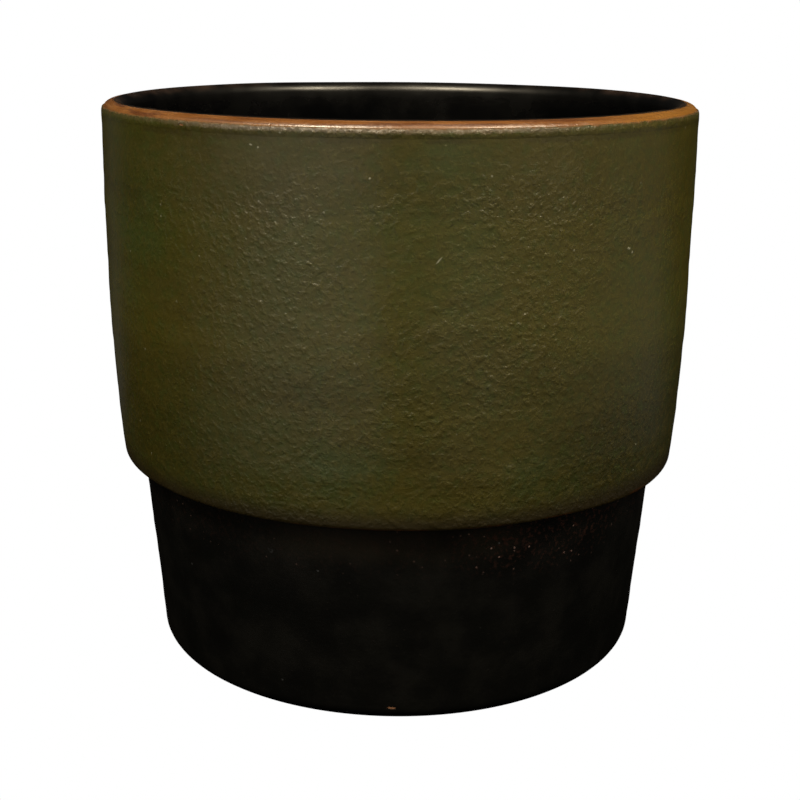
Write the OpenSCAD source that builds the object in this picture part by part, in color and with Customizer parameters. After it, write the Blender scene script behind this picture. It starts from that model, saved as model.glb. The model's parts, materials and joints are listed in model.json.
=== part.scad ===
// Glazed terracotta pot for an indoor plant.
// One fired clay body carries three glaze coats: green on the drum, black on the foot
// and black inside. A rubber bung closes the drain hole, and four pads carry the pot.
// +Z is up, the axis of the pot is Z, and z = 0 is the surface that the pads stand on.

/* [Drum] */
// Widest diameter of the drum, over its glaze
drum_d = 320; // [300:1:360]
// Height of the pot from its clay underside to the crest of the lip
pot_h = 302; // [290:1:330]
// Height at which the drum is widest
belly_h = 205; // [190:1:220]
// How far the drum's wall draws in from its widest place to the step, in radius
belly_draw = 4.2; // [2:0.1:6]
// How far the drum's wall draws in from its widest place to the rim, in radius
rim_draw = 0.6; // [0:0.1:2]
// Rounding of the drum's lower arris
arris_r = 3; // [3:0.5:6]

/* [Foot] */
// Height of the step from the clay underside
step_h = 111; // [100:1:120]
// Diameter of the foot just under the step, over its glaze
foot_top_d = 291.2; // [280:0.2:298]
// Diameter that the foot's wall would have at the underside, over its glaze
foot_base_d = 273.2; // [262:0.2:280]
// Rounding of the foot's lower edge
base_round = 9; // [5:0.5:10]
// Rounding of the inward corner under the step
step_fillet = 2; // [1.5:0.5:3]

/* [Wall] */
// Thickness of the clay at the lip, which is a full round
lip_t = 11; // [9:0.5:13]
// Thickness of the drum's clay just above the step
drum_wall = 13; // [12:0.5:14]
// Thickness of the foot's clay
foot_wall = 12; // [10:0.5:13]
// Thickness of the floor
floor_t = 12; // [10:0.5:14]
// Rounding between the floor and the wall inside
floor_fillet = 18; // [12:1:24]
// Height over which the inside widens from the foot to the drum
neck_h = 44; // [36:1:50]

/* [Underside] */
// Inner diameter of the ring that the pads are stuck to
ring_d = 210; // [190:1:215]
// Depth of the hollow inside that ring
ring_depth = 3; // [2:0.5:4]

/* [Glaze] */
// Thickness of each glaze coat
glaze_t = 0.6; // [0.4:0.1:0.8]
// Steps of the lip's round that the green coat covers, up from its outer side
green_top = 4; // [1:1:6]
// Step of the lip's round where the black lining starts, counted from its outer side
lining_top = 13; // [13:1:18]
// Steps of the lower arris that the green coat covers
green_end = 5; // [3:1:6]
// Steps of the foot's lower edge that the black coat covers
black_end = 6; // [3:1:6]

/* [Drain] */
// Diameter of the drain hole in the clay
drain_d = 26; // [20:1:30]
// Bare ring left round the drain hole, in radius
drain_margin = 3; // [1:0.5:4]
// Diameter of the bung's head
bung_head_d = 48; // [44:1:56]
// Thickness of the bung's head at its rim
bung_head_t = 3; // [2:0.5:4]
// Clearance between the bung's ribs and the hole, in radius
bung_gap = 0.3; // [0.2:0.05:0.5]
// How far the bung reaches below the floor's underside
bung_reach = 1.5; // [0.5:0.5:3]
// Diameter of the finger grip on the bung
grip_d = 18; // [14:1:22]
// Height of the finger grip
grip_h = 11; // [8:1:14]

/* [Pads] */
// Diameter of a pad
pad_d = 18; // [14:1:20]
// Thickness of a pad
pad_t = 2.5; // [2:0.5:4]
// Diameter of the circle that the pads' centres lie on
pad_circle_d = 236; // [232:1:238]

/* [Hidden] */
$fn = 144;

// Number of pads, and the turn of the first one from +X
pad_count = 4;
pad_turn = 45;
// Bevel round the lower edge of a pad
pad_bevel = 0.5;
// Steps in the lip's half round, in each wall and in each smaller round. A coat and
// the clay share them, and a coat thins out to nothing over its last step.
lip_steps = 24;
outer_steps = 20;
inner_steps = 30;
round_steps = 8;

// Clay sizes, which are the finished ones less the glaze
belly_r = drum_d / 2 - glaze_t;
lip_r = lip_t / 2;
foot_top_r = foot_top_d / 2 - glaze_t;
foot_base_r = foot_base_d / 2 - glaze_t;
arris_clay = arris_r - glaze_t;
base_clay = base_round - glaze_t;
floor_z = ring_depth + floor_t;

// Rise of radius with height on the foot, and of the drum's wall just above the step
foot_slope = (foot_top_r - foot_base_r) / step_h;
drum_slope = 2 * belly_draw / (belly_h - step_h);

// Outer clay surface of the drum and of the foot, as a radius at a height
function drum_r(z) = belly_r - (z > belly_h
    ? rim_draw * pow((z - belly_h) / (pot_h - belly_h), 2)
    : belly_draw * pow((belly_h - z) / (belly_h - step_h), 2));
function foot_r(z) = foot_base_r + foot_slope * z;

// Inner clay surface, which eases from the foot's width to the drum's above the step
neck_low = step_h - 6;
function ease(t) = t <= 0 ? 0 : t >= 1 ? 1 : t * t * (3 - 2 * t);
function drum_wall_at(z) = lip_t + (drum_wall - lip_t) * (pot_h - z) / (pot_h - step_h);
function inner_drum_r(z) = drum_r(z) - drum_wall_at(z);
function inner_foot_r(z) = foot_r(z) - foot_wall;
function inner_r(z) = inner_foot_r(z)
    + (inner_drum_r(z) - inner_foot_r(z)) * ease((z - neck_low) / neck_h);

// Points on an arc that runs from angle a to angle b in n steps, from step i to step j
function arc(centre, r, a, b, n, i, j) =
    [for (k = i <= j ? [i:j] : [i:-1:j], t = [a + (b - a) * k / n])
        centre + r * [cos(t), sin(t)]];

// Points on a wall given by its radius at each height, moved outwards by grow
function heights(a, b, n) = [for (i = [0:n]) a + (b - a) * i / n];
function outer_wall(a, b, grow) = [for (z = heights(a, b, outer_steps)) [drum_r(z) + grow, z]];
function inner_wall(a, b, grow) = [for (z = heights(a, b, inner_steps)) [inner_r(z) + grow, z]];

// Centre of the lip's round
lip_c = [drum_r(pot_h) - lip_r, pot_h - lip_r];
// Lower arris of the drum, tangent to the wall above it
arris_turn = atan(drum_slope);
arris_top = step_h + arris_clay * (1 - sin(arris_turn));
arris_c = [drum_r(arris_top) - arris_clay * cos(arris_turn), step_h + arris_clay];
// Lower edge of the foot and the fillet on the floor, tangent to the foot's walls
foot_turn = atan(foot_slope);
base_c = [foot_r(base_clay) - base_clay / cos(foot_turn), base_clay];
floor_c = [inner_foot_r(floor_z + floor_fillet) - floor_fillet / cos(foot_turn),
           floor_z + floor_fillet];
// Inward corner under the step
corner_c = [foot_r(step_h) + step_fillet, step_h - step_fillet];
// Ends of the curved walls, just clear of the rounds
wall_top = lip_c.y - 2;
outer_low = arris_top + 2;
inner_low = floor_c.y + 4;

// The rounds from step i to step j, moved off the clay by grow
function lip_round(i, j, grow) = arc(lip_c, lip_r + grow, 0, 180, lip_steps, i, j);
function arris_round(i, j, grow) =
    arc(arris_c, arris_clay + grow, -arris_turn, -90, round_steps, i, j);
function corner_round(i, j, grow) =
    arc(corner_c, step_fillet - grow, 90, 180, round_steps, i, j);
function base_round_points(i, j, grow) =
    arc(base_c, base_clay + grow, -foot_turn, -90, round_steps, i, j);
function floor_round(i, j, grow) =
    arc(floor_c, floor_fillet - grow, -90, -foot_turn, round_steps, i, j);

// Half-outline of a solid of revolution, lifted onto the pads
module turned(points) {
    translate([0, 0, pad_t]) rotate_extrude() polygon(points);
}

// Fired body: lip, drum, step, foot, underside ring, drain hole and inside
module clay_body() {
    outside = concat(
        lip_round(lip_steps / 2, 0, 0),
        outer_wall(wall_top, outer_low, 0),
        arris_round(0, round_steps, 0),
        corner_round(0, round_steps, 0),
        base_round_points(0, round_steps, 0));
    underside = [
        [ring_d / 2 + ring_depth / 2, 0],
        [ring_d / 2 - ring_depth / 2, ring_depth],
        [drain_d / 2, ring_depth],
        [drain_d / 2, floor_z]];
    inside = concat(
        floor_round(0, round_steps, 0),
        inner_wall(inner_low, wall_top, 0),
        lip_round(lip_steps, lip_steps / 2 + 1, 0));
    color([0.60, 0.33, 0.19]) turned(concat(outside, underside, inside));
}

// Green coat: from the side of the lip down the drum and round the lower arris
module drum_glaze() {
    clay_side = concat(
        lip_round(green_top, 0, 0),
        outer_wall(wall_top, outer_low, 0),
        arris_round(0, green_end, 0));
    outer_side = concat(
        arris_round(green_end - 1, 0, glaze_t),
        outer_wall(outer_low, wall_top, glaze_t),
        lip_round(0, green_top - 1, glaze_t));
    color([0.25, 0.23, 0.11]) turned(concat(clay_side, outer_side));
}

// Black coat: under the step, down the foot and round its lower edge
module foot_glaze() {
    clay_side = concat(
        [arris_c - [0, arris_clay]],
        corner_round(0, round_steps, 0),
        base_round_points(0, black_end, 0));
    outer_side = concat(
        base_round_points(black_end - 1, 0, glaze_t),
        corner_round(round_steps, 0, glaze_t),
        [arris_c - [glaze_t, arris_clay + glaze_t]]);
    color([0.05, 0.05, 0.045]) turned(concat(clay_side, outer_side));
}

// Black lining: from the crest of the lip down the inside and over the floor
module lining_glaze() {
    edge_r = drain_d / 2 + drain_margin;
    clay_side = concat(
        [[edge_r, floor_z]],
        floor_round(0, round_steps, 0),
        inner_wall(inner_low, wall_top, 0),
        lip_round(lip_steps, lining_top, 0));
    inner_side = concat(
        lip_round(lining_top + 1, lip_steps, glaze_t),
        inner_wall(wall_top, inner_low, -glaze_t),
        floor_round(round_steps, 0, glaze_t),
        [[edge_r + glaze_t, floor_z + glaze_t]]);
    color([0.06, 0.06, 0.06]) turned(concat(clay_side, inner_side));
}

// Rubber bung: a head that lies on the glazed floor, a ribbed shank in the drain
// hole and a waisted finger grip
module drain_stopper() {
    rib_r = drain_d / 2 - bung_gap;
    core_r = rib_r - 1;
    nose_r = core_r - 1.5;
    head_r = bung_head_d / 2;
    grip_r = grip_d / 2;
    waist_r = grip_r - 3;
    seat_z = floor_z + glaze_t;
    tip_z = ring_depth - bung_reach;
    rib_w = 2;
    rib_gap = (seat_z - tip_z - 2 * rib_w) / 3;
    ribs = [for (i = [1, 2], corner = [[core_r, 0], [rib_r, 0.5], [rib_r, 1.5], [core_r, 2]])
        [corner.x, tip_z + i * rib_gap + (i - 1) * rib_w + corner.y]];
    grip_c = [grip_r - 2, seat_z + bung_head_t + grip_h - 2];
    outline = concat(
        [[0, tip_z], [nose_r, tip_z], [core_r, tip_z + 1.5]],
        ribs,
        [[core_r, seat_z]],
        arc([head_r - 1, seat_z + 1], 1, -90, 0, 3, 0, 3),
        arc([head_r - 1, seat_z + bung_head_t - 1], 1, 0, 80, 3, 0, 3),
        [[waist_r + 2, seat_z + bung_head_t + 1.5], [waist_r, seat_z + bung_head_t + 3.5]],
        arc(grip_c, 2, -30, 90, 6, 0, 6),
        [[0, grip_c.y + 2]]);
    color([0.09, 0.09, 0.10]) turned(outline);
}

// One stick-on pad under the ring, with a bevel round its lower edge
module foot_pad(i) {
    color([0.16, 0.15, 0.14])
        rotate([0, 0, pad_turn + (i - 1) * 360 / pad_count])
            translate([pad_circle_d / 2, 0, 0]) {
                cylinder(h = pad_bevel, r1 = pad_d / 2 - pad_bevel, r2 = pad_d / 2, $fn = 48);
                translate([0, 0, pad_bevel])
                    cylinder(h = pad_t - pad_bevel, d = pad_d, $fn = 48);
            }
}

clay_body();
drum_glaze();
foot_glaze();
lining_glaze();
drain_stopper();
foot_pad(1);  // foot_pad_1
foot_pad(2);  // foot_pad_2
foot_pad(3);  // foot_pad_3
foot_pad(4);  // foot_pad_4
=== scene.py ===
# A glazed terracotta pot for an indoor plant: a wide green drum on a narrower black foot,
# black inside, with a bare clay lip. In metres, +Z up, standing on z = 0.
import json
import math

import bmesh
import bpy
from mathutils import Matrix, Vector

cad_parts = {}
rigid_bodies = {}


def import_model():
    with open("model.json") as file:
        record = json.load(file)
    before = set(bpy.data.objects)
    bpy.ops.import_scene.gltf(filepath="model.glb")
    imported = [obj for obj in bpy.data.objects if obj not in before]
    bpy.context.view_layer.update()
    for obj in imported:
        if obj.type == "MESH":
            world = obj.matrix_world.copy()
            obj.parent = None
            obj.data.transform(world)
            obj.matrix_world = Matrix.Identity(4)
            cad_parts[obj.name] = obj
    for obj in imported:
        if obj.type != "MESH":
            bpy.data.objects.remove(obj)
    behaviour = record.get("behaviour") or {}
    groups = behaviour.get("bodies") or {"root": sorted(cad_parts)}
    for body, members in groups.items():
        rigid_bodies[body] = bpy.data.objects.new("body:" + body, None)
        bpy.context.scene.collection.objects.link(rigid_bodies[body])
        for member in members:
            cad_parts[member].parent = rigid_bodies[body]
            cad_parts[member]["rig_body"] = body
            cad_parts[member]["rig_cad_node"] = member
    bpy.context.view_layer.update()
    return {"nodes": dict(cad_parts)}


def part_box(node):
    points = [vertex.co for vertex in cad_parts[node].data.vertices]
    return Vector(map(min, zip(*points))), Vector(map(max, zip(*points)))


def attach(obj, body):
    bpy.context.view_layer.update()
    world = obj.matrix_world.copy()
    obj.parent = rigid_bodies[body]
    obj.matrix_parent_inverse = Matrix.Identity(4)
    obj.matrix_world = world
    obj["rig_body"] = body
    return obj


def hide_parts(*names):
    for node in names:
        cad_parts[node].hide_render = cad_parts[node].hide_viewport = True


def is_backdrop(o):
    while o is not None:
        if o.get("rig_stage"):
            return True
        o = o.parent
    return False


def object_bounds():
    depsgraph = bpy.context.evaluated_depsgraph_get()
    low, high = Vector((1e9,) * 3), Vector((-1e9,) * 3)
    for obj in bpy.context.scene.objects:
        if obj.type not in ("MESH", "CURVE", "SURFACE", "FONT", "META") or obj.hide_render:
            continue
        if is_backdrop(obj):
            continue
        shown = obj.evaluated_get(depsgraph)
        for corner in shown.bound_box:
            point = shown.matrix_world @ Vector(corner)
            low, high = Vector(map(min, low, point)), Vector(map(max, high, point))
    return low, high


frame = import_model()
MM = 0.001

# ---------------------------------------------------------------- studio
# A pale floor that runs out of view, four soft boxes (two tall ones in front, one overhead
# and one behind) and two small glints, with the camera a little above the rim.
crest_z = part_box("clay_body")[1].z
base_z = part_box("clay_body")[0].z
drum_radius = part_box("drum_glaze")[1].x

camera_distance = 4.71 * drum_radius
camera_rise = 48 * MM
tilt_down, roll, turn_aside = 16.22, 0.43, -0.086
camera_data = bpy.data.cameras.new("camera")
camera = bpy.data.objects.new("camera", camera_data)
bpy.context.scene.collection.objects.link(camera)
bpy.context.scene.camera = camera
camera_data.lens = 60.94
camera_data.sensor_width = 36.0
camera.location = (0.0, -camera_distance, crest_z + camera_rise)
camera.rotation_euler = (math.radians(90 - tilt_down), 0.0, 0.0)
camera.rotation_euler.rotate_axis("Z", math.radians(roll))
camera.rotation_euler.rotate_axis("Y", math.radians(turn_aside))


def soft_box(name, azimuth, height, distance, width, tall, watts, aim_z=0.18):
    """A rectangular light at an azimuth clockwise from behind the camera, aimed at the pot."""
    light = bpy.data.lights.new(name, "AREA")
    light.shape = "RECTANGLE"
    light.size, light.size_y = width, tall
    light.energy = watts
    lamp = bpy.data.objects.new(name, light)
    bpy.context.scene.collection.objects.link(lamp)
    turn = math.radians(azimuth)
    lamp.location = (distance * math.sin(turn), -distance * math.cos(turn), height)
    towards = Vector((0, 0, aim_z)) - lamp.location
    lamp.rotation_euler = towards.to_track_quat("-Z", "Y").to_euler()
    return lamp


# The soft boxes are matt-lit fill: the glaze mirrors the table instead
for fill in (soft_box("left_panel", -48, 0.95, 1.5, 1.0, 1.4, 19),
             soft_box("right_panel", 55, 0.95, 1.5, 0.9, 1.4, 20),
             soft_box("overhead", 30, 1.60, 0.35, 0.50, 0.50, 9, 0.25),
             soft_box("back_panel", 180, 0.60, 1.6, 1.4, 1.0, 17, 0.15)):
    fill.visible_glossy = False
# Two small warm glints from high up show only in the gloss of the lip
for glint in (soft_box("left_glint", -29, 1.31, 0.96, 0.50, 0.36, 44, 0.3),
              soft_box("right_glint", 47, 1.28, 1.00, 0.34, 0.34, 29, 0.3)):
    glint.visible_diffuse = False
    glint.data.color = (1.0, 0.86, 0.62)

bpy.ops.mesh.primitive_plane_add(size=30, location=(0, 0, 0))
floor = bpy.context.active_object
floor.name = "studio_floor"
floor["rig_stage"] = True


def put(tree, kind, inputs=None, **settings):
    """Adds a shader node: its settings by name, its inputs as values or as sockets to link."""
    node = tree.nodes.new("ShaderNode" + kind)
    for name, value in settings.items():
        setattr(node, name, value)
    for name, value in (inputs or {}).items():
        if isinstance(value, bpy.types.NodeSocket):
            tree.links.new(value, node.inputs[name])
        else:
            node.inputs[name].default_value = value
    return node


def maths(tree, operation, *values):
    """A Math node's result."""
    return put(tree, "Math", dict(enumerate(values)), operation=operation).outputs[0]


def rise(tree, value, low, high, start=0.0, end=1.0):
    """Runs smoothly from start to end as value goes from low to high."""
    sockets = {"Value": value, "From Min": low, "From Max": high, "To Min": start, "To Max": end}
    return put(tree, "MapRange", sockets, interpolation_type="SMOOTHSTEP").outputs[0]


def from_axis(tree, x, y):
    """The distance from the Z axis to a place x, y."""
    squares = [maths(tree, "MULTIPLY", side, side) for side in (x, y)]
    return maths(tree, "SQRT", maths(tree, "ADD", *squares))


# White to the camera, nearly black to the light, and to the gloss of the glaze a table
# with four lit patches on it: a broad one at each side in front, a smaller one within the
# right-hand one, and a narrow one behind. Each is given by its bearings and its strength.
paper = bpy.data.materials.new("white_paper_floor")
paper.use_nodes = True
tree = paper.node_tree
tree.nodes.clear()
x, y, z = put(tree, "SeparateXYZ", {0: put(tree, "TexCoord").outputs["Object"]}).outputs
bearing = maths(tree, "DEGREES", maths(tree, "ARCTAN2", x, maths(tree, "MULTIPLY", y, -1.0)))
glow = None
for start, full, fade, end, strength in (
        (-90, -15, -9, -4, 0.50), (2, 10, 100, 124, 0.16),
        (8, 22, 30, 42, 0.10), (-146, -138, -132, -122, 0.065)):
    patch = maths(tree, "MULTIPLY", rise(tree, bearing, start, full, 0.0, strength),
                  rise(tree, bearing, fade, end, 1.0, 0.0))
    glow = patch if glow is None else maths(tree, "ADD", glow, patch)
glow = maths(tree, "MULTIPLY", glow, rise(tree, from_axis(tree, x, y), 0.35, 0.65))
ray = put(tree, "LightPath").outputs
white = put(tree, "Emission", {"Color": (1, 1, 1, 1), "Strength": 1.0}).outputs[0]
table = put(tree, "Emission", {"Color": (1, 1, 1, 1), "Strength": glow}).outputs[0]
dim = put(tree, "BsdfDiffuse", {"Color": (0.03, 0.03, 0.03, 1)}).outputs[0]
mixed = put(tree, "MixShader", {0: ray["Is Glossy Ray"], 1: dim, 2: table}).outputs[0]
mixed = put(tree, "MixShader", {0: ray["Is Camera Ray"], 1: mixed, 2: white}).outputs[0]
put(tree, "OutputMaterial", {"Surface": mixed})
floor.data.materials.append(paper)

world = bpy.data.worlds.new("studio")
bpy.context.scene.world = world
world.use_nodes = True
tree = world.node_tree
tree.nodes.clear()
seen = put(tree, "LightPath").outputs["Is Camera Ray"]
room = put(tree, "Background", {"Color": (1, 1, 1, 1), "Strength": 0.012}).outputs[0]
backdrop = put(tree, "Background", {"Color": (1, 1, 1, 1), "Strength": 1.0}).outputs[0]
world_mix = put(tree, "MixShader", {0: seen, 1: room, 2: backdrop}).outputs[0]
put(tree, "OutputWorld", {"Surface": world_mix})
bpy.context.scene.view_settings.view_transform = "Standard"

# ---------------------------------------------------------------- clay body
# The fired earthenware body: lip, drum, step, foot and floor in one wall, with a drain
# hole. It is turned on a wheel, so its walls carry faint rings and aren't quite true.
# Steps in one turn of the wheel, and the radius beyond which a thrown piece is all wall
TURNS = 288
WALL_FROM = 0.11


def select_only(piece):
    """Makes a piece the only selected object and the active one."""
    bpy.ops.object.select_all(action="DESELECT")
    piece.select_set(True)
    bpy.context.view_layer.objects.active = piece


def tool_marks(z):
    """How far the turner's rib stood off at a height, in metres."""
    waves = ((0.9, 61, 0.2), (0.45, 23, 1.3), (0.4, 14.5, 4.0), (0.22, 8.7, 2.2))
    return 0.12 * MM * sum(share * math.sin(z / MM * math.tau / pitch + phase)
                           for share, pitch, phase in waves)


def half_outline(node, name, spacing):
    """A new piece: the outline of a CAD node in the half plane y = 0, x > 0."""
    piece = frame["nodes"][node].copy()
    piece.data = piece.data.copy()
    piece.name = name
    piece.parent = None
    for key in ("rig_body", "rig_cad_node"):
        del piece[key]
    bpy.context.scene.collection.objects.link(piece)
    piece.data.materials.clear()
    select_only(piece)
    bpy.ops.object.mode_set(mode="EDIT")
    bpy.ops.mesh.select_mode(type="VERT")
    bpy.ops.mesh.select_all(action="SELECT")
    bpy.ops.mesh.remove_doubles(threshold=0.002 * MM)
    bpy.ops.mesh.bisect(plane_co=(0, 0, 0), plane_no=(0, 1, 0), threshold=0.001 * MM)
    bpy.ops.mesh.select_all(action="INVERT")
    bpy.ops.mesh.delete(type="VERT")
    bpy.ops.mesh.select_all(action="SELECT")
    bpy.ops.mesh.bisect(plane_co=(0, 0, 0), plane_no=(1, 0, 0), clear_inner=True)
    bpy.ops.mesh.select_mode(type="EDGE")
    # Long edges are split in a few passes, the longest first, down towards the spacing
    for cuts in (7, 3, 1, 1):
        mesh = bmesh.from_edit_mesh(piece.data)
        for edge in mesh.edges:
            edge.select_set(edge.calc_length() > spacing * (cuts + 1))
        bmesh.update_edit_mesh(piece.data)
        bpy.ops.mesh.subdivide(number_cuts=cuts)
    bpy.ops.object.mode_set(mode="OBJECT")
    return piece


def turn_on_wheel(piece, smooth=35):
    """Turns an outline round the Z axis into a closed solid with its faces outwards."""
    select_only(piece)
    modifier = piece.modifiers.new("wheel", "SCREW")
    modifier.steps = TURNS
    modifier.render_steps = TURNS
    modifier.use_merge_vertices = True
    modifier.merge_threshold = 0.02 * MM
    bpy.ops.object.modifier_apply(modifier=modifier.name)
    bpy.ops.object.mode_set(mode="EDIT")
    bpy.ops.mesh.select_all(action="SELECT")
    bpy.ops.mesh.normals_make_consistent(inside=False)
    bpy.ops.object.mode_set(mode="OBJECT")
    bpy.ops.object.shade_smooth_by_angle(angle=math.radians(smooth))


def add_rings(piece):
    """Presses the turner's rings into the walls of an outline, and leaves its flat ends."""
    for vertex in piece.data.vertices:
        if vertex.co.x > WALL_FROM:
            vertex.co.x += tool_marks(vertex.co.z)


def ease(value, low, high):
    """0 below low, 1 above high, and a smooth rise between."""
    t = min(max((value - low) / (high - low), 0), 1)
    return t * t * (3 - 2 * t)


def weigh(piece, name, rule):
    """A vertex group whose weights follow a rule on each vertex's place."""
    group = piece.vertex_groups.new(name=name)
    for vertex in piece.data.vertices:
        group.add([vertex.index], rule(vertex.co), "REPLACE")
    return name


def clouds(name, size, coloured=False, depth=1):
    """A cloud texture whose features are about a size in metres."""
    texture = bpy.data.textures.new(name, "CLOUDS")
    texture.noise_scale = size
    texture.noise_depth = depth
    texture.cloud_type = "COLOR" if coloured else "GRAYSCALE"
    return texture


def push(piece, texture, strength, direction, group):
    """Displaces a piece by a texture, within a vertex group."""
    select_only(piece)
    modifier = piece.modifiers.new(texture.name, "DISPLACE")
    modifier.texture = texture
    modifier.texture_coords = "LOCAL"
    modifier.strength = strength
    modifier.mid_level = 0.5
    modifier.direction = direction
    modifier.vertex_group = group
    bpy.ops.object.modifier_apply(modifier=modifier.name)


warp = clouds("kiln_warp", 0.16, coloured=True)
step_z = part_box("drum_glaze")[0].z


def thrown_place(co):
    """1 on the walls, falling to 0 at the underside and round the drain hole."""
    return ease(co.z, base_z, base_z + 25 * MM) * ease(math.hypot(co.x, co.y), 0.06, WALL_FROM)


def slump(co):
    """How far the drum's lower arris sank on one side of the kiln, in metres."""
    near_step = ease(co.z, step_z - 22 * MM, step_z) * ease(-co.z, -step_z - 40 * MM, -step_z - 4 * MM)
    return 1.9 * MM * near_step * ease(co.x, 70 * MM, 135 * MM)


def warp_in_kiln(piece):
    """The same slow warp for the clay and for every coat on it, so that they stay in touch."""
    push(piece, warp, 1.2 * MM, "RGB_TO_XYZ", weigh(piece, "thrown", thrown_place))
    for vertex in piece.data.vertices:
        vertex.co.z -= slump(vertex.co)


def chip(piece, bearing, height, size, turn):
    """Knocks a small flake off the outside of a coat, at a bearing and a height in mm."""
    swing = math.radians(bearing)
    outside = 0.17
    aim = Vector((outside * math.sin(swing), -outside * math.cos(swing), height * MM))
    spot = piece.closest_point_on_mesh(aim)[1]
    bpy.ops.object.select_all(action="DESELECT")
    bpy.ops.mesh.primitive_ico_sphere_add(subdivisions=3, radius=1.0, location=spot,
                                          rotation=(0, math.radians(turn), swing),
                                          scale=[side * MM for side in size])
    flake = bpy.context.active_object
    select_only(piece)
    cut = piece.modifiers.new("flake", "BOOLEAN")
    cut.operation = "DIFFERENCE"
    cut.object = flake
    bpy.ops.object.modifier_apply(modifier=cut.name)
    bpy.data.objects.remove(flake)


def throw(node, name, spacing):
    """A thrown piece made from a CAD node: its outline ringed, turned and warped."""
    piece = half_outline(node, name, spacing)
    add_rings(piece)
    turn_on_wheel(piece)
    warp_in_kiln(piece)
    return piece


def keep(piece, node, material):
    """Puts a finished piece on the pot in place of its CAD node."""
    piece.data.materials.append(material)
    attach(piece, "pot")
    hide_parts(node)


clay = throw("clay_body", "fired_clay", 5 * MM)


def tint(tree, factor, first, second):
    """Mixes two colours, each a socket or three numbers."""
    # A Mix node's colours are its inputs 6 and 7 and its output 2
    node = put(tree, "Mix", {0: factor}, data_type="RGBA")
    for index, colour in ((6, first), (7, second)):
        if isinstance(colour, bpy.types.NodeSocket):
            tree.links.new(colour, node.inputs[index])
        else:
            node.inputs[index].default_value = (*colour, 1)
    return node.outputs[2]


def grain(tree, place, scale, detail=2.0, roughness=0.5, w=0.0):
    """Perlin noise at a number of features per metre."""
    sockets = {"Vector": place, "Scale": scale, "Detail": detail, "Roughness": roughness, "W": w}
    return put(tree, "TexNoise", sockets, noise_dimensions="4D").outputs["Fac"]


def new_material(name, specular, **values):
    """A material with a Principled BSDF: its tree, shader and object coordinates."""
    made = bpy.data.materials.new(name)
    made.use_nodes = True
    shader = made.node_tree.nodes["Principled BSDF"]
    shader.inputs["Specular IOR Level"].default_value = specular
    for socket, value in values.items():
        shader.inputs[socket.replace("_", " ")].default_value = value
    place = put(made.node_tree, "TexCoord").outputs["Object"]
    return made, made.node_tree, shader, place


def wander(tree, z, noise, span):
    """A height that wanders up and down with a noise, over a span in metres."""
    return maths(tree, "ADD", z, maths(tree, "MULTIPLY", maths(tree, "SUBTRACT", noise, 0.5), span))


def weighted(tree, *terms):
    """Adds up results, each times its weight."""
    total = None
    for value, weight in terms:
        part = maths(tree, "MULTIPLY", value, weight)
        total = part if total is None else maths(tree, "ADD", total, part)
    return total


def finish(tree, shader, colour, rough, height, strength, depth):
    """Links a material's colour and roughness, and its relief as a bump of a depth in metres."""
    bump = put(tree, "Bump", {"Height": height, "Strength": strength, "Distance": depth}).outputs[0]
    for socket, value in (("Base Color", colour), ("Roughness", rough), ("Normal", bump)):
        tree.links.new(value, shader.inputs[socket])


def new_group(name, inputs, outputs):
    """An empty shader node group with number inputs and outputs: its tree and end nodes."""
    group = bpy.data.node_groups.new(name, "ShaderNodeTree")
    for label, default in inputs.items():
        socket = group.interface.new_socket(label, in_out="INPUT", socket_type="NodeSocketFloat")
        socket.default_value = default
    for label in outputs:
        group.interface.new_socket(label, in_out="OUTPUT", socket_type="NodeSocketFloat")
    return group, group.nodes.new("NodeGroupInput").outputs, group.nodes.new("NodeGroupOutput").inputs


def use_group(tree, group, **values):
    """Places a node group and returns its outputs."""
    node = tree.nodes.new("ShaderNodeGroup")
    node.node_tree = group
    for label, value in values.items():
        socket = node.inputs[label.replace("_", " ")]
        if isinstance(value, bpy.types.NodeSocket):
            tree.links.new(value, socket)
        else:
            socket.default_value = value
    return node.outputs


def mark(tree, place, bearing, z, reach, size, turn=0.0):
    """1 inside a soft ellipsoid on the wall at a bearing from the front, fading to 0."""
    swing = math.radians(bearing)
    where = (reach * math.sin(swing), -reach * math.cos(swing), z)
    near = put(tree, "Mapping", {"Vector": place, "Location": where,
                                 "Rotation": (0, math.radians(turn), swing), "Scale": size},
               vector_type="TEXTURE").outputs[0]
    away = put(tree, "VectorMath", {0: near}, operation="LENGTH").outputs["Value"]
    return rise(tree, away, 0.4, 1.0, 1.0, 0.0)


# Streaks that run round the pot: noise on the direction from the axis, the height and
# the radius, so they have no seam.
streaks, given, result = new_group("wheel_streaks", {"Along": 3.0, "Across": 80.0}, ["Streak"])
xyz = put(streaks, "SeparateXYZ", {0: put(streaks, "TexCoord").outputs["Object"]}).outputs
radius = from_axis(streaks, xyz[0], xyz[1])
around = [maths(streaks, "MULTIPLY", maths(streaks, "DIVIDE", axis, radius), given["Along"])
          for axis in xyz[:2]]
level = maths(streaks, "MULTIPLY", xyz[2], given["Across"])
wheel_place = put(streaks, "CombineXYZ", {0: around[0], 1: around[1], 2: level}).outputs[0]
streak = grain(streaks, wheel_place, 1.0, 3.0, w=maths(streaks, "MULTIPLY", radius, given["Across"]))
streaks.links.new(streak, result["Streak"])

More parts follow.
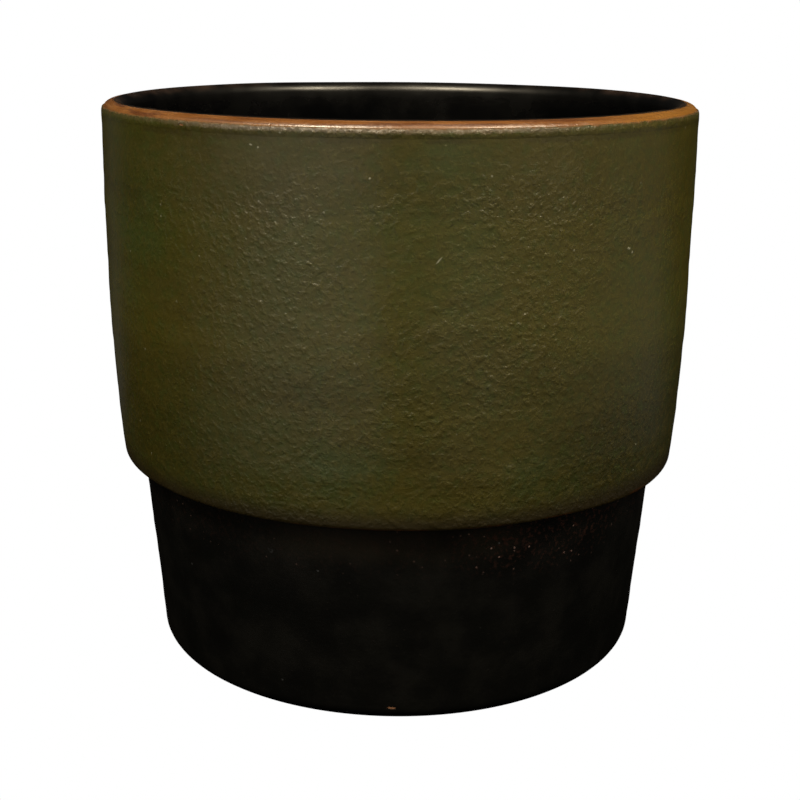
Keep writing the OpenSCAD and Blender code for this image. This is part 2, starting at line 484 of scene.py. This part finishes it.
# Small spots at random places, each a soft disc: Voronoi cells thinned out by their colour.
spots, given, result = new_group("spots", {"Scale": 200.0, "Size": 0.2, "Share": 0.1}, ["Spot"])
place = put(spots, "TexCoord").outputs["Object"]
cells = put(spots, "TexVoronoi", {"Vector": place, "Scale": given["Scale"]}).outputs
disc = put(spots, "MapRange", {"Value": cells["Distance"], "From Min": 0.0,
                               "From Max": given["Size"], "To Min": 1.0, "To Max": 0.0},
           interpolation_type="SMOOTHSTEP").outputs[0]
draw = put(spots, "SeparateColor", {0: cells["Color"]}).outputs[0]
chosen = maths(spots, "LESS_THAN", draw, given["Share"])
spots.links.new(maths(spots, "MULTIPLY", disc, chosen), result["Spot"])

terracotta, tree, shader, place = new_material("terracotta", 0.5)
x, y, z = put(tree, "SeparateXYZ", {0: place}).outputs
fine = grain(tree, place, 900, 3)
patch = grain(tree, place, 45, 4, 0.6)
streak = use_group(tree, streaks, Along=5.0, Across=420.0)["Streak"]
smear = use_group(tree, streaks, Along=2.0, Across=700.0)["Streak"]
colour = tint(tree, rise(tree, patch, 0.35, 0.7), (0.205, 0.064, 0.0085), (0.27, 0.094, 0.015))
colour = tint(tree, rise(tree, streak, 0.48, 0.60, 0.0, 0.85), colour, (0.105, 0.028, 0.006))
colour = tint(tree, rise(tree, smear, 0.54, 0.64, 0.0, 0.6), colour, (0.34, 0.145, 0.045))
colour = tint(tree, rise(tree, fine, 0.45, 0.75, 0.0, 0.4), colour, (0.36, 0.16, 0.06))
pit = use_group(tree, spots, Scale=260.0, Size=0.16, Share=0.12)["Spot"]
colour = tint(tree, maths(tree, "MULTIPLY", pit, 0.8), colour, (0.06, 0.02, 0.008))
# The lip turns lighter and more golden towards its right side, and its inner half smoked
# brown at both flanks and behind
golden = maths(tree, "MULTIPLY", rise(tree, x, 75 * MM, 125 * MM, 0.0, 0.75),
               rise(tree, fine, 0.3, 0.6, 0.5, 1.0))
colour = tint(tree, golden, colour, (0.37, 0.145, 0.016))
inner = rise(tree, from_axis(tree, x, y), drum_radius - 8.5 * MM, drum_radius - 4.5 * MM, 0.85, 0.0)
flank = maths(tree, "MAXIMUM", rise(tree, maths(tree, "ABSOLUTE", x), 95 * MM, 140 * MM),
              rise(tree, y, 20 * MM, 80 * MM))
inner = maths(tree, "MULTIPLY", maths(tree, "MULTIPLY", inner, flank),
              rise(tree, patch, 0.30, 0.55, 0.3, 1.0))
colour = tint(tree, inner, colour, (0.030, 0.012, 0.005))
# The underside is dry and paler than the lip, which was wiped smooth
dry = rise(tree, z, base_z + 6 * MM, base_z + 12 * MM, 1.0, 0.0)
colour = tint(tree, maths(tree, "MULTIPLY", dry, 0.75), colour, (0.42, 0.19, 0.085))
rough = weighted(tree, (rise(tree, patch, 0.3, 0.7, 0.30, 0.42), 1.0), (dry, 0.4))
grit = grain(tree, place, 420, 2, 0.6)
height = weighted(tree, (fine, 0.35), (streak, 0.5), (grit, 1.6), (pit, -1.0))
finish(tree, shader, colour, rough, height, 0.7, 0.22 * MM)
keep(clay, "clay_body", terracotta)

# ---------------------------------------------------------------- green coat
# The dark olive glaze on the drum, brushed on in bands and fired satin. It stops short
# of the crest, where it thins to brown, and breaks again over the drum's lower arris.
green = throw("drum_glaze", "green_coat", 2.5 * MM)
coat_low, coat_high = (corner.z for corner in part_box("drum_glaze"))


def clear_of_ends(co):
    """1 along the coat, falling to 0 at its lower and its upper end."""
    return ease(co.z, coat_low, coat_low + 6 * MM) * ease(-co.z, -coat_high, -coat_high + 6 * MM)


push(green, clouds("glaze_flow", 22 * MM, depth=2), 0.25 * MM, "NORMAL",
     weigh(green, "flow", clear_of_ends))
chip(green, -38.9, 301.2, (1.9, 1.2, 0.5), 8)

satin_green, tree, shader, place = new_material("satin_green_glaze", 0.3, Coat_Weight=0.5,
                                                Coat_Roughness=0.27)
x, _, z = put(tree, "SeparateXYZ", {0: place}).outputs
cloud = grain(tree, place, 9, 3)
blotch = grain(tree, place, 34, 4, 0.6)
mottle = grain(tree, place, 210, 3, 0.6)
lump = grain(tree, place, 330, 2, 0.5)
peel = grain(tree, place, 620, 2, 0.55)
fine = grain(tree, place, 1300, 2, 0.6)
band = use_group(tree, streaks, Along=2.2, Across=55.0)["Streak"]
brush = use_group(tree, streaks, Along=14.0, Across=300.0)["Streak"]
colour = tint(tree, rise(tree, cloud, 0.4, 0.62), (0.062, 0.0477, 0.0034), (0.052, 0.0496, 0.0045))
colour = tint(tree, rise(tree, blotch, 0.5, 0.72, 0.0, 0.7), colour, (0.05, 0.0515, 0.006))
for bearing, height, reach, size in (
        (8, 286, 160, (40, 30, 12)), (-9, 143, 157, (34, 30, 20)), (29, 139, 157, (36, 30, 20)),
        (-52, 250, 159, (34, 30, 30))):
    green_patch = mark(tree, place, bearing, height * MM, reach * MM, [side * MM for side in size])
    colour = tint(tree, maths(tree, "MULTIPLY", green_patch, rise(tree, blotch, 0.3, 0.6, 0.2, 0.9)),
                  colour, (0.04, 0.0515, 0.0068))
# Horizontal brush bands, two of them darker, and painted shade over the lower third, deepest at the flanks
colour = tint(tree, rise(tree, band, 0.5, 0.68, 0.0, 0.5), colour, (0.04, 0.0296, 0.0021))
wavy = wander(tree, z, blotch, 12 * MM)
for low_edge, high_edge, depth in ((176, 192, 0.32), (262, 292, 0.34)):
    inside = maths(tree, "MULTIPLY", rise(tree, wavy, (low_edge - 5) * MM, (low_edge + 3) * MM),
                   rise(tree, wavy, (high_edge - 4) * MM, (high_edge + 6) * MM, depth, 0.0))
    colour = tint(tree, inside, colour, (0.03, 0.0229, 0.0018))
# Painted shade on the lower third: least in the middle, deepest towards the flanks, the right one most
flank = maths(tree, "MAXIMUM", rise(tree, x, -40 * MM, -120 * MM, 0.22, 0.58),
              rise(tree, x, 40 * MM, 110 * MM, 0.22, 0.85))
painted_low_shade = maths(tree, "MULTIPLY", rise(tree, wavy, 150 * MM, 200 * MM, 1.0, 0.0), flank)
colour = tint(tree, painted_low_shade, colour, (0.018, 0.0153, 0.0016))
colour = tint(tree, rise(tree, brush, 0.5, 0.75, 0.0, 0.22), colour, (0.085, 0.0649, 0.0094))
# Mottle at the size of the orange peel: olive to brown, with pale and dark grains
colour = tint(tree, rise(tree, mottle, 0.42, 0.66, 0.0, 0.45), colour, (0.068, 0.0487, 0.0045))
colour = tint(tree, rise(tree, mottle, 0.50, 0.34, 0.0, 0.45), colour, (0.041, 0.0477, 0.0047))
colour = tint(tree, rise(tree, peel, 0.56, 0.74, 0.0, 0.35), colour, (0.115, 0.0935, 0.0157))
colour = tint(tree, rise(tree, peel, 0.44, 0.28, 0.0, 0.35), colour, (0.02, 0.0172, 0.0016))
speck = use_group(tree, spots, Scale=220.0, Size=0.22, Share=0.14)["Spot"]
colour = tint(tree, maths(tree, "MULTIPLY", speck, 0.6), colour, (0.014, 0.0096, 0.0016))
chalk = use_group(tree, spots, Scale=150.0, Size=0.12, Share=0.10)["Spot"]
for bearing, height, reach, size, turn in (
        (6.4, 244, 160, (2.6, 3, 0.5), -48), (43, 243, 160, (1.6, 3, 0.8), 10),
        (44, 241, 160, (0.8, 3, 0.9), 0), (-24.5, 293, 160, (1.1, 3, 0.5), 15),
        (-23.2, 292, 160, (0.6, 3, 0.7), 0), (-38.9, 301.2, 159, (2.4, 3, 0.7), 8)):
    chalk = maths(tree, "MAXIMUM", chalk,
                  mark(tree, place, bearing, height * MM, reach * MM, [side * MM for side in size], turn))
colour = tint(tree, maths(tree, "MULTIPLY", chalk, 0.75), colour, (0.34, 0.30, 0.17))
# Thin glaze at both ends: brown over the arris, and beige over the side of the lip, with painted highlight
# on the beige
ragged = wander(tree, z, mottle, 3 * MM)
thin_low = rise(tree, ragged, coat_low + 1 * MM, coat_low + 14 * MM, 0.9, 0.0)
colour = tint(tree, thin_low, colour, (0.018, 0.0109, 0.0029))
rust = maths(tree, "MULTIPLY", rise(tree, ragged, coat_low, coat_low + 1.2 * MM, 0.6, 0.0),
             rise(tree, blotch, 0.48, 0.62))
colour = tint(tree, rust, colour, (0.06, 0.0133, 0.0027))
pooled = maths(tree, "MULTIPLY", rise(tree, ragged, crest_z - 10.4 * MM, crest_z - 8.8 * MM),
               rise(tree, ragged, crest_z - 7.2 * MM, crest_z - 6.2 * MM, 0.6, 0.0))
pooled = maths(tree, "MULTIPLY", pooled, rise(tree, blotch, 0.38, 0.58, 0.1, 0.9))
colour = tint(tree, pooled, colour, (0.026, 0.0179, 0.0009))
# Beige thin glaze and painted highlight, widest at the front and giving way to bare olive towards the
# flanks
front_beige_and_highlight = maths(tree, "MULTIPLY", rise(tree, x, 40 * MM, 85 * MM, 1.0, 0.12),
              rise(tree, x, -120 * MM, -75 * MM, 0.25, 1.0))
lip_beige_and_highlight = maths(tree, "MULTIPLY", rise(tree, ragged, crest_z - 5.6 * MM, crest_z - 3.8 * MM), front_beige_and_highlight)
colour = tint(tree, lip_beige_and_highlight, colour, (0.155, 0.104, 0.047))
worn = rise(tree, ragged, crest_z - 3.6 * MM, crest_z - 2.6 * MM)
colour = tint(tree, worn, colour, (0.20, 0.088, 0.024))
rough = weighted(tree, (rise(tree, blotch, 0.3, 0.7, 0.34, 0.44), 1.0), (fine, 0.1))
swell = grain(tree, place, 120, 2)
pinhole = use_group(tree, spots, Scale=300.0, Size=0.2, Share=0.14)["Spot"]
height = weighted(tree, (fine, 0.06), (peel, 0.4), (mottle, 1.3), (rise(tree, lump, 0.40, 0.74), 1.1),
                  (brush, 0.4), (swell, 2.2), (pinhole, -0.6), (chalk, 0.5))
# The relief comes and goes over the drum, fades under the lip and is stronger on its round
calm = maths(tree, "MULTIPLY", rise(tree, z, crest_z - 12 * MM, crest_z - 45 * MM, 0.4, 1.0),
             rise(tree, grain(tree, place, 16, 2), 0.36, 0.60, 0.55, 1.0))
calm = maths(tree, "MAXIMUM", calm, rise(tree, z, crest_z - 9 * MM, crest_z - 5 * MM, 0.0, 0.9))
finish(tree, shader, colour, rough, maths(tree, "MULTIPLY", height, calm), 1.0, 0.35 * MM)
keep(green, "drum_glaze", satin_green)

# ---------------------------------------------------------------- black foot coat
# A matt black glaze under the step, down the foot and round its lower edge, where it was
# wiped off the underside. Rust specks and a brown flush show under the step.
foot = throw("foot_glaze", "black_foot_coat", 2.5 * MM)
chip(foot, -0.8, 7.4, (2.7, 1.5, 0.9), 4)
foot_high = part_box("foot_glaze")[1].z

matt_black, tree, shader, place = new_material("matt_black_glaze", 0.12)
z = put(tree, "SeparateXYZ", {0: place}).outputs[2]
cloud = grain(tree, place, 14, 3)
blotch = grain(tree, place, 40, 4, 0.6)
peel = grain(tree, place, 420, 3, 0.6)
band = use_group(tree, streaks, Along=3.0, Across=90.0)["Streak"]
colour = tint(tree, rise(tree, blotch, 0.42, 0.72), (0.0016, 0.0016, 0.0011), (0.0036, 0.0033, 0.0023))
# A brown flush with rust specks under the step, strongest in front
ragged = wander(tree, z, blotch, 14 * MM)
flush = maths(tree, "MULTIPLY", rise(tree, ragged, foot_high - 26 * MM, foot_high - 14 * MM),
              rise(tree, cloud, 0.38, 0.55, 0.35, 1.0))
front = mark(tree, place, 2, foot_high - 14 * MM, 145 * MM, (95 * MM, 60 * MM, 30 * MM))
flush = maths(tree, "MAXIMUM", maths(tree, "MULTIPLY", flush, 0.15), maths(tree, "MULTIPLY", front, flush))
colour = tint(tree, flush, colour, (0.0092, 0.0070, 0.0038))
specks = use_group(tree, spots, Scale=260.0, Size=0.20, Share=0.22)["Spot"]
near_step = rise(tree, ragged, foot_high - 36 * MM, foot_high - 16 * MM, 0.06, 1.0)
freckles = mark(tree, place, 32, foot_high - 16 * MM, 145 * MM, (75 * MM, 40 * MM, 22 * MM))
freckles = maths(tree, "MAXIMUM", maths(tree, "MULTIPLY", near_step, 0.25), freckles)
rusty = maths(tree, "MULTIPLY", rise(tree, peel, 0.50, 0.66, 0.0, 0.8), freckles)
colour = tint(tree, rusty, colour, (0.022, 0.0085, 0.0050))
colour = tint(tree, maths(tree, "MULTIPLY", specks, freckles), colour, (0.24, 0.135, 0.095))
dust = use_group(tree, spots, Scale=120.0, Size=0.10, Share=0.05)["Spot"]
smear = mark(tree, place, -25.9, 93 * MM, 145 * MM, (2.2 * MM, 3 * MM, 2.0 * MM), 40)
dust = maths(tree, "MAXIMUM", dust, maths(tree, "MULTIPLY", smear, rise(tree, peel, 0.4, 0.6)))
dust = maths(tree, "MAXIMUM", dust, mark(tree, place, -15.7, 85.6 * MM, 144 * MM,
                                         (1.0 * MM, 2 * MM, 0.6 * MM), 20))
colour = tint(tree, maths(tree, "MULTIPLY", dust, 0.5), colour, (0.09, 0.085, 0.075))
rough = rise(tree, blotch, 0.3, 0.7, 0.5, 0.62)
height = weighted(tree, (peel, 0.7), (blotch, 0.8), (band, 0.8), (specks, 0.4))
finish(tree, shader, colour, rough, height, 0.7, 0.35 * MM)
keep(foot, "foot_glaze", matt_black)

# ---------------------------------------------------------------- black lining
# A glossy black glaze poured inside, from the crest of the lip down over the floor, and
# brown where it pulled thin over the lip.
lining = throw("lining_glaze", "black_lining", 4 * MM)
lining_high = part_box("lining_glaze")[1].z

gloss_black, tree, shader, place = new_material("gloss_black_glaze", 0.4)
x, _, z = put(tree, "SeparateXYZ", {0: place}).outputs
blotch = grain(tree, place, 40, 4, 0.6)
fine = grain(tree, place, 500, 3, 0.6)
streak = use_group(tree, streaks, Along=6.0, Across=260.0)["Streak"]
colour = tint(tree, rise(tree, blotch, 0.45, 0.75), (0.0008, 0.0008, 0.0008), (0.0016, 0.0015, 0.0012))
over_lip = wander(tree, z, blotch, 7 * MM)
brown = rise(tree, over_lip, lining_high - 3.5 * MM, lining_high + 0.5 * MM)
# It broke to brown in patches, most of them at the two sides
sides = rise(tree, maths(tree, "ABSOLUTE", x), 70 * MM, 125 * MM, 0.12, 1.0)
broken = maths(tree, "MULTIPLY", rise(tree, grain(tree, place, 50, 4, 0.65), 0.36, 0.62), sides)
colour = tint(tree, maths(tree, "MULTIPLY", brown, broken), colour, (0.034, 0.018, 0.010))
# The gloss is duller on the lip, where the glaze is thin
dull = rise(tree, z, lining_high - 12 * MM, lining_high - 4 * MM, 0.0, 0.11)
rough = maths(tree, "ADD", rise(tree, blotch, 0.3, 0.7, 0.20, 0.30), dull)
height = weighted(tree, (fine, 0.2), (streak, 0.8))
finish(tree, shader, colour, rough, height, 0.3, 0.15 * MM)
keep(lining, "lining_glaze", gloss_black)

# ---------------------------------------------------------------- rubber bung
# A moulded black rubber bung that closes the drain hole: a flat head with a waisted grip
# above the floor and two sealing ribs below. It pulls straight up out of the pot.
bung = half_outline("drain_stopper", "rubber_bung", 0.8 * MM)
turn_on_wheel(bung, 28)
bung_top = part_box("drain_stopper")[1].z
# Flutes in the side of the grip: their pitch and width in degrees, how far down they go,
# how deep they are, and the radius beyond which a face belongs to the side
flute_pitch, flute_width = 30, 12
flute_reach, flute_depth, side_from = 7 * MM, 0.5 * MM, 7.5 * MM
select_only(bung)
bpy.ops.object.mode_set(mode="EDIT")
bpy.ops.mesh.select_mode(type="FACE")
mesh = bmesh.from_edit_mesh(bung.data)
for face in mesh.faces:
    side = face.calc_center_median()
    turn = math.degrees(math.atan2(side.y, side.x)) % flute_pitch
    ring = math.hypot(side.x, side.y)
    on_grip = side.z > bung_top - flute_reach and ring > side_from and abs(face.normal.z) < 0.6
    face.select_set(on_grip and turn < flute_width)
bmesh.update_edit_mesh(bung.data)
bpy.ops.transform.shrink_fatten(value=-flute_depth)
bpy.ops.object.mode_set(mode="OBJECT")

moulded, tree, shader, place = new_material("moulded_rubber", 0.35)
fine = grain(tree, place, 1500, 2)
bloom = grain(tree, place, 120, 4, 0.6)
colour = tint(tree, rise(tree, bloom, 0.4, 0.7), (0.012, 0.012, 0.013), (0.024, 0.024, 0.024))
lint = use_group(tree, spots, Scale=600.0, Size=0.2, Share=0.05)["Spot"]
colour = tint(tree, maths(tree, "MULTIPLY", lint, 0.6), colour, (0.11, 0.10, 0.09))
finish(tree, shader, colour, rise(tree, bloom, 0.3, 0.7, 0.5, 0.68), fine, 0.3, 0.05 * MM)
bung.data.materials.append(moulded)
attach(bung, "stopper")
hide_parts("drain_stopper")

# ---------------------------------------------------------------- pads
# Four self-adhesive rubber discs stuck to the ring under the foot, each with a soft edge
# and a shallow dish moulded in its underside.
pad_low, pad_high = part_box("foot_pad_1")
pad_r = (pad_high.x - pad_low.x) / 2
pad_t = pad_high.z - pad_low.z
bpy.ops.object.select_all(action="DESELECT")
bpy.ops.mesh.primitive_cylinder_add(vertices=64, radius=pad_r, depth=pad_t, location=(0, 0, 0))
first_pad = bpy.context.active_object
bpy.ops.object.mode_set(mode="EDIT")
bpy.ops.mesh.select_mode(type="FACE")
mesh = bmesh.from_edit_mesh(first_pad.data)
for face in mesh.faces:
    face.select_set(face.normal.z < -0.9)
bmesh.update_edit_mesh(first_pad.data)
bpy.ops.mesh.inset(thickness=3 * MM)
bpy.ops.mesh.inset(thickness=0.8 * MM, depth=-0.35 * MM)
bpy.ops.mesh.inset(thickness=1.5 * MM)
bpy.ops.object.mode_set(mode="OBJECT")
bevel = first_pad.modifiers.new("edge", "BEVEL")
bevel.width = 0.45 * MM
bevel.segments = 3
bevel.limit_method = "ANGLE"
bevel.angle_limit = math.radians(50)
bpy.ops.object.modifier_apply(modifier=bevel.name)
bpy.ops.object.shade_smooth_by_angle(angle=math.radians(40))

gum, tree, shader, place = new_material("pad_rubber", 0.3)
fine = grain(tree, place, 1200, 3)
scuff = grain(tree, place, 220, 4, 0.65)
colour = tint(tree, rise(tree, scuff, 0.45, 0.7), (0.016, 0.015, 0.014), (0.045, 0.042, 0.038))
finish(tree, shader, colour, rise(tree, scuff, 0.3, 0.7, 0.6, 0.8), fine, 0.3, 0.06 * MM)

for number in range(1, 5):
    node = f"foot_pad_{number}"
    low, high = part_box(node)
    pad = first_pad if number == 4 else first_pad.copy()
    pad.data = first_pad.data.copy()
    if number < 4:
        bpy.context.scene.collection.objects.link(pad)
    pad.name = f"rubber_pad_{number}"
    pad.location = (low + high) / 2
    select_only(pad)
    bpy.ops.object.transform_apply(location=True, rotation=False, scale=False)
    keep(pad, node, gum)

low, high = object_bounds()
